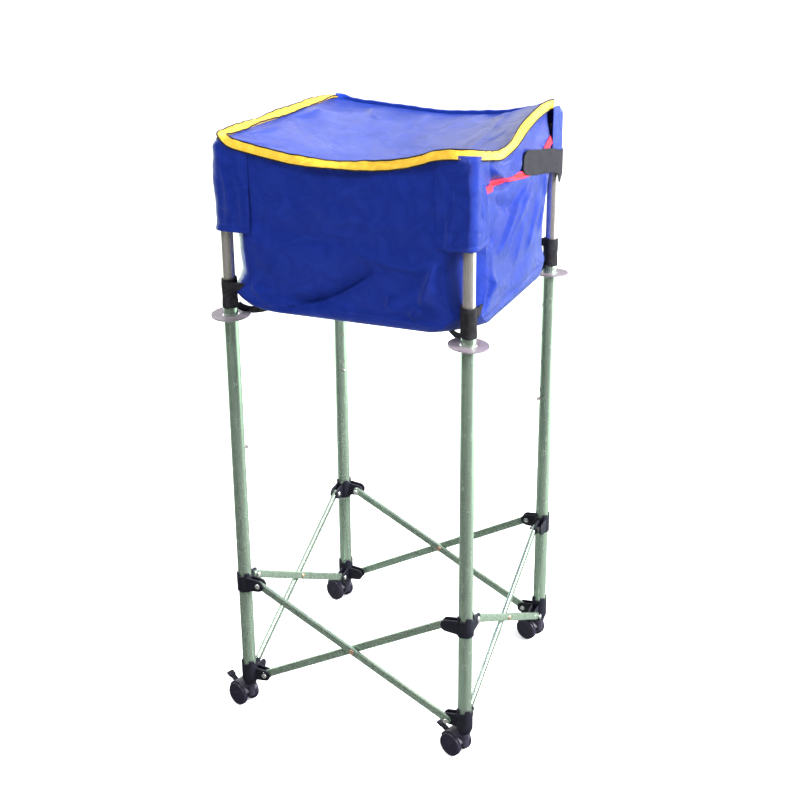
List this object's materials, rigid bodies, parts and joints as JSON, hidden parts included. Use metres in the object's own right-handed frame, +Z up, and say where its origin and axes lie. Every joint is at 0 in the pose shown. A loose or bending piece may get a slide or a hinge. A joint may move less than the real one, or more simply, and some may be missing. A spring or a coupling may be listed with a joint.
{
  "type": "ball cart",
  "caption": "Folding ball cart: square zip-lid bag hung on telescoping legs with snap buttons, scissor cross bars and twin-wheel casters.",
  "frame": {"origin": "on the floor, under the middle of the cart's outline; the four legs' centre is 11.5 mm to the +X side of it, because the front brake levers reach past the frame towards -X", "axes": "+X to the cart's right, +Y to its back, where the lid is hinged, +Z up along the legs"},
  "size_m": [0.4676, 0.444, 0.9805],
  "materials": {
    "polished_steel": "polished tube with a faint green cast and bright streaks",
    "chromed_mast": "chromed",
    "rivet_metal": "dull coppery rivet",
    "black_moulding": "semi-matt moulded plastic",
    "wheel_plastic": "satin plastic with a violet cast",
    "blue_cloth": "coated woven cloth with a soft sheen",
    "black_webbing": "woven strap",
    "clear_disc": "thin cloudy clear plastic",
    "yellow_trim": "ribbed zip tape",
    "red_piping": "woven tape"
  },
  "bodies": {
    "front_left_leg": {"front_left_leg_tube": "polished_steel", "front_left_caster_socket": "black_moulding"},
    "front_inner_bar": {"front_inner_bar": "polished_steel", "front_crossing_rivet": "rivet_metal"},
    "front_outer_bar": {"front_outer_bar": "polished_steel"},
    "front_right_leg": {"front_right_leg_tube": "polished_steel", "front_right_caster_socket": "black_moulding"},
    "front_right_collar": {"front_right_sliding_collar": "black_moulding"},
    "front_left_collar": {"front_left_sliding_collar": "black_moulding"},
    "left_outer_bar": {"left_outer_bar": "polished_steel", "left_crossing_rivet": "rivet_metal"},
    "left_inner_bar": {"left_inner_bar": "polished_steel"},
    "back_left_leg": {"back_left_leg_tube": "polished_steel", "back_left_caster_socket": "black_moulding"},
    "back_left_collar": {"back_left_sliding_collar": "black_moulding"},
    "right_inner_bar": {"right_inner_bar": "polished_steel", "right_crossing_rivet": "rivet_metal"},
    "right_outer_bar": {"right_outer_bar": "polished_steel"},
    "back_right_leg": {"back_right_leg_tube": "polished_steel", "back_right_caster_socket": "black_moulding"},
    "back_right_collar": {"back_right_sliding_collar": "black_moulding"},
    "back_outer_bar": {"back_outer_bar": "polished_steel", "back_crossing_rivet": "rivet_metal"},
    "back_inner_bar": {"back_inner_bar": "polished_steel"},
    "front_left_mast": {"front_left_mast": "chromed_mast", "front_left_bag_tie": "black_webbing", "front_left_guard_disc": "clear_disc", "front_bag_wall": "blue_cloth", "bag_floor": "blue_cloth"},
    "front_right_mast": {"front_right_mast": "chromed_mast", "front_right_bag_tie": "black_webbing", "front_right_guard_disc": "clear_disc", "right_bag_wall": "blue_cloth"},
    "back_right_mast": {"back_right_mast": "chromed_mast", "back_right_bag_tie": "black_webbing", "back_right_guard_disc": "clear_disc", "back_bag_wall": "blue_cloth"},
    "back_left_mast": {"back_left_mast": "chromed_mast", "back_left_bag_tie": "black_webbing", "back_left_guard_disc": "clear_disc", "left_bag_wall": "blue_cloth"},
    "front_left_button": {"front_left_snap_button": "chromed_mast"},
    "front_right_button": {"front_right_snap_button": "chromed_mast"},
    "back_right_button": {"back_right_snap_button": "chromed_mast"},
    "back_left_button": {"back_left_snap_button": "chromed_mast"},
    "lid": {"bag_lid": "blue_cloth"},
    "front_left_caster": {"front_left_caster_housing": "black_moulding"},
    "front_left_wheel_front": {"front_left_wheel_front": "wheel_plastic"},
    "front_left_wheel_rear": {"front_left_wheel_rear": "wheel_plastic"},
    "front_right_caster": {"front_right_caster_housing": "black_moulding"},
    "front_right_wheel_front": {"front_right_wheel_front": "wheel_plastic"},
    "front_right_wheel_rear": {"front_right_wheel_rear": "wheel_plastic"},
    "back_right_caster": {"back_right_caster_housing": "black_moulding"},
    "back_right_wheel_front": {"back_right_wheel_front": "wheel_plastic"},
    "back_right_wheel_rear": {"back_right_wheel_rear": "wheel_plastic"},
    "back_left_caster": {"back_left_caster_housing": "black_moulding"},
    "back_left_wheel_front": {"back_left_wheel_front": "wheel_plastic"},
    "back_left_wheel_rear": {"back_left_wheel_rear": "wheel_plastic"},
    "front_left_brake_lever": {"front_left_brake_lever": "black_moulding"},
    "front_right_brake_lever": {"front_right_brake_lever": "black_moulding"}
  },
  "joints": [
    {"name": "fold", "type": "hinge", "parent": "front_left_leg", "child": "front_inner_bar", "pos_m": [-0.1525, -0.192, 0.064], "axis": [0, -1, 0], "range_deg": [0, 53], "deforming": ["front_bag_wall", "right_bag_wall", "back_bag_wall", "left_bag_wall", "bag_floor", "bag_lid"]},
    {"name": "front_crossing", "type": "hinge", "parent": "front_inner_bar", "child": "front_outer_bar", "pos_m": [0.0115, -0.192, 0.1505], "axis": [0, -1, 0], "range_deg": [-106, 0]},
    {"name": "front_right_foot_pivot", "type": "hinge", "parent": "front_outer_bar", "child": "front_right_leg", "pos_m": [0.1755, -0.192, 0.064], "axis": [0, -1, 0], "range_deg": [0, 53]},
    {"name": "front_right_collar_pivot", "type": "hinge", "parent": "front_inner_bar", "child": "front_right_collar", "pos_m": [0.1755, -0.192, 0.237], "axis": [0, -1, 0], "range_deg": [-53, 0]},
    {"name": "front_left_collar_pivot", "type": "hinge", "parent": "front_outer_bar", "child": "front_left_collar", "pos_m": [-0.1525, -0.192, 0.237], "axis": [0, -1, 0], "range_deg": [0, 53]},
    {"name": "left_outer_bar_pivot", "type": "hinge", "parent": "front_left_leg", "child": "left_outer_bar", "pos_m": [-0.1805, -0.164, 0.064], "axis": [1, 0, 0], "range_deg": [0, 53]},
    {"name": "left_crossing", "type": "hinge", "parent": "left_outer_bar", "child": "left_inner_bar", "pos_m": [-0.1805, 0, 0.1505], "axis": [1, 0, 0], "range_deg": [-106, 0]},
    {"name": "back_left_foot_pivot", "type": "hinge", "parent": "left_inner_bar", "child": "back_left_leg", "pos_m": [-0.1805, 0.164, 0.064], "axis": [1, 0, 0], "range_deg": [0, 53]},
    {"name": "back_left_collar_pivot", "type": "hinge", "parent": "left_outer_bar", "child": "back_left_collar", "pos_m": [-0.1805, 0.164, 0.237], "axis": [1, 0, 0], "range_deg": [-53, 0]},
    {"name": "right_inner_bar_pivot", "type": "hinge", "parent": "front_right_leg", "child": "right_inner_bar", "pos_m": [0.2035, -0.164, 0.064], "axis": [1, 0, 0], "range_deg": [0, 53]},
    {"name": "right_crossing", "type": "hinge", "parent": "right_inner_bar", "child": "right_outer_bar", "pos_m": [0.2035, 0, 0.1505], "axis": [1, 0, 0], "range_deg": [-106, 0]},
    {"name": "back_right_foot_pivot", "type": "hinge", "parent": "right_outer_bar", "child": "back_right_leg", "pos_m": [0.2035, 0.164, 0.064], "axis": [1, 0, 0], "range_deg": [0, 53]},
    {"name": "back_right_collar_pivot", "type": "hinge", "parent": "right_inner_bar", "child": "back_right_collar", "pos_m": [0.2035, 0.164, 0.237], "axis": [1, 0, 0], "range_deg": [-53, 0]},
    {"name": "back_outer_bar_pivot", "type": "hinge", "parent": "back_left_leg", "child": "back_outer_bar", "pos_m": [-0.1525, 0.192, 0.064], "axis": [0, -1, 0], "range_deg": [0, 53]},
    {"name": "back_crossing", "type": "hinge", "parent": "back_outer_bar", "child": "back_inner_bar", "pos_m": [0.0115, 0.192, 0.1505], "axis": [0, -1, 0], "range_deg": [-106, 0]},
    {"name": "front_left_mast_slide", "type": "slide", "parent": "front_left_leg", "child": "front_left_mast", "axis": [0, 0, 1], "range_m": [0, 0.167], "deforming": ["front_left_snap_button"]},
    {"name": "front_right_mast_slide", "type": "slide", "parent": "front_right_leg", "child": "front_right_mast", "axis": [0, 0, 1], "range_m": [0, 0.167], "deforming": ["front_right_snap_button"]},
    {"name": "back_right_mast_slide", "type": "slide", "parent": "back_right_leg", "child": "back_right_mast", "axis": [0, 0, 1], "range_m": [0, 0.167], "deforming": ["back_right_snap_button"]},
    {"name": "back_left_mast_slide", "type": "slide", "parent": "back_left_leg", "child": "back_left_mast", "axis": [0, 0, 1], "range_m": [0, 0.167], "deforming": ["back_left_snap_button"]},
    {"name": "front_left_button_press", "type": "slide", "parent": "front_left_mast", "child": "front_left_button", "axis": [-0.7071, -0.7071, 0], "range_m": [0, 0.0075], "stiffness_N_per_m": 250, "springref_m": -0.002},
    {"name": "front_right_button_press", "type": "slide", "parent": "front_right_mast", "child": "front_right_button", "axis": [0.7071, -0.7071, 0], "range_m": [0, 0.0075], "stiffness_N_per_m": 250, "springref_m": -0.002},
    {"name": "back_right_button_press", "type": "slide", "parent": "back_right_mast", "child": "back_right_button", "axis": [0.7071, 0.7071, 0], "range_m": [0, 0.0075], "stiffness_N_per_m": 250, "springref_m": -0.002},
    {"name": "back_left_button_press", "type": "slide", "parent": "back_left_mast", "child": "back_left_button", "axis": [-0.7071, 0.7071, 0], "range_m": [0, 0.0075], "stiffness_N_per_m": 250, "springref_m": -0.002},
    {"name": "lid_hinge", "type": "hinge", "parent": "back_right_mast", "child": "lid", "pos_m": [0.0115, 0.2033, 0.966], "axis": [-1, 0, 0], "range_deg": [0, 250]},
    {"name": "front_left_caster_swivel", "type": "hinge", "parent": "front_left_leg", "child": "front_left_caster", "pos_m": [-0.1805, -0.192, 0.044], "axis": [0, 0, 1], "continuous": true},
    {"name": "front_left_wheel_front_roll", "type": "hinge", "parent": "front_left_caster", "child": "front_left_wheel_front", "pos_m": [-0.19741, -0.18584, 0.02], "axis": [0.342, 0.9397, 0], "continuous": true},
    {"name": "front_left_wheel_rear_roll", "type": "hinge", "parent": "front_left_caster", "child": "front_left_wheel_rear", "pos_m": [-0.19741, -0.18584, 0.02], "axis": [0.342, 0.9397, 0], "continuous": true},
    {"name": "front_right_caster_swivel", "type": "hinge", "parent": "front_right_leg", "child": "front_right_caster", "pos_m": [0.2035, -0.192, 0.044], "axis": [0, 0, 1], "continuous": true},
    {"name": "front_right_wheel_front_roll", "type": "hinge", "parent": "front_right_caster", "child": "front_right_wheel_front", "pos_m": [0.18659, -0.18584, 0.02], "axis": [0.342, 0.9397, 0], "continuous": true},
    {"name": "front_right_wheel_rear_roll", "type": "hinge", "parent": "front_right_caster", "child": "front_right_wheel_rear", "pos_m": [0.18659, -0.18584, 0.02], "axis": [0.342, 0.9397, 0], "continuous": true},
    {"name": "back_right_caster_swivel", "type": "hinge", "parent": "back_right_leg", "child": "back_right_caster", "pos_m": [0.2035, 0.192, 0.044], "axis": [0, 0, 1], "continuous": true},
    {"name": "back_right_wheel_front_roll", "type": "hinge", "parent": "back_right_caster", "child": "back_right_wheel_front", "pos_m": [0.18659, 0.19816, 0.02], "axis": [0.342, 0.9397, 0], "continuous": true},
    {"name": "back_right_wheel_rear_roll", "type": "hinge", "parent": "back_right_caster", "child": "back_right_wheel_rear", "pos_m": [0.18659, 0.19816, 0.02], "axis": [0.342, 0.9397, 0], "continuous": true},
    {"name": "back_left_caster_swivel", "type": "hinge", "parent": "back_left_leg", "child": "back_left_caster", "pos_m": [-0.1805, 0.192, 0.044], "axis": [0, 0, 1], "continuous": true},
    {"name": "back_left_wheel_front_roll", "type": "hinge", "parent": "back_left_caster", "child": "back_left_wheel_front", "pos_m": [-0.19741, 0.19816, 0.02], "axis": [0.342, 0.9397, 0], "continuous": true},
    {"name": "back_left_wheel_rear_roll", "type": "hinge", "parent": "back_left_caster", "child": "back_left_wheel_rear", "pos_m": [-0.19741, 0.19816, 0.02], "axis": [0.342, 0.9397, 0], "continuous": true},
    {"name": "front_left_brake", "type": "hinge", "parent": "front_left_caster", "child": "front_left_brake_lever", "pos_m": [-0.21057, -0.18105, 0.03], "axis": [-0.342, -0.9397, 0], "range_deg": [0, 18]},
    {"name": "front_right_brake", "type": "hinge", "parent": "front_right_caster", "child": "front_right_brake_lever", "pos_m": [0.17343, -0.18105, 0.03], "axis": [-0.342, -0.9397, 0], "range_deg": [0, 18]}
  ],
  "couplings": [
    {"joint": "front_crossing", "follows": "fold", "ratio": -2},
    {"joint": "front_right_foot_pivot", "follows": "fold", "ratio": 1},
    {"joint": "front_right_collar_pivot", "follows": "fold", "ratio": -1},
    {"joint": "front_left_collar_pivot", "follows": "fold", "ratio": 1},
    {"joint": "left_outer_bar_pivot", "follows": "fold", "ratio": 1},
    {"joint": "left_crossing", "follows": "fold", "ratio": -2},
    {"joint": "back_left_foot_pivot", "follows": "fold", "ratio": 1},
    {"joint": "back_left_collar_pivot", "follows": "fold", "ratio": -1},
    {"joint": "right_inner_bar_pivot", "follows": "fold", "ratio": 1},
    {"joint": "right_crossing", "follows": "fold", "ratio": -2},
    {"joint": "back_right_foot_pivot", "follows": "fold", "ratio": 1},
    {"joint": "back_right_collar_pivot", "follows": "fold", "ratio": -1},
    {"joint": "back_outer_bar_pivot", "follows": "fold", "ratio": 1},
    {"joint": "back_crossing", "follows": "fold", "ratio": -2},
    {"joint": "front_right_mast_slide", "follows": "front_left_mast_slide", "ratio": 1},
    {"joint": "back_right_mast_slide", "follows": "front_left_mast_slide", "ratio": 1},
    {"joint": "back_left_mast_slide", "follows": "front_left_mast_slide", "ratio": 1}
  ]
}
